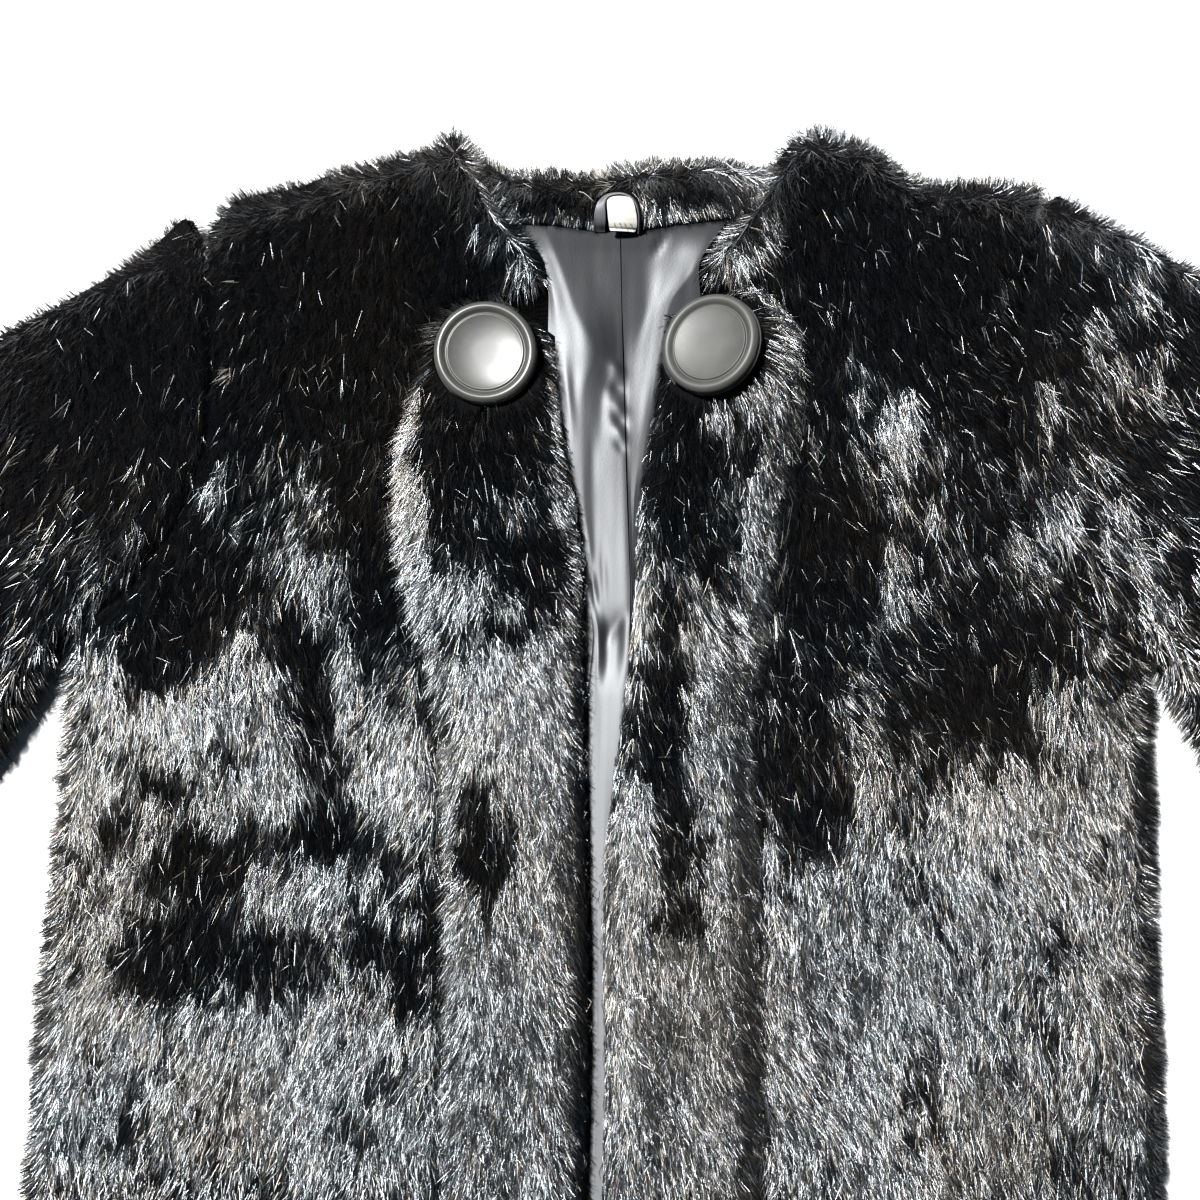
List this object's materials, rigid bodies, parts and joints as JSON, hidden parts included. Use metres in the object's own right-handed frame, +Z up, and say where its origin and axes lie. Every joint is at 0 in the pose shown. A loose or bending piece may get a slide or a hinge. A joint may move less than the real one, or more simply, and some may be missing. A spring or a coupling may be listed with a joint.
{
  "type": "fur coat",
  "caption": "Black fur coat laid flat on its back: collarless, open front with raised fur bands, large round buttons, a satin back lining and a hang loop.",
  "frame": {"origin": "on the surface, under the middle of the back, at the mount rest", "axes": "+X to the wearer's left, +Y towards the neck, +Z up from the surface"},
  "size_m": [1.18, 0.7228, 0.0444],
  "materials": {
    "fur": "glossy",
    "satin": "satin",
    "button": "satin",
    "ribbon": "satin",
    "label": "matte"
  },
  "bodies": {
    "root": {"back_panel": "fur", "back_neck_band": "fur", "right_front": "fur", "left_front": "fur", "right_front_band": "fur", "left_front_band": "fur", "right_sleeve_top": "fur", "left_sleeve_top": "fur", "right_sleeve_under": "fur", "left_sleeve_under": "fur", "right_back_lining": "satin", "left_back_lining": "satin", "right_button": "button", "left_button": "button", "hang_loop": "ribbon", "neck_label": "label"}
  },
  "joints": []
}
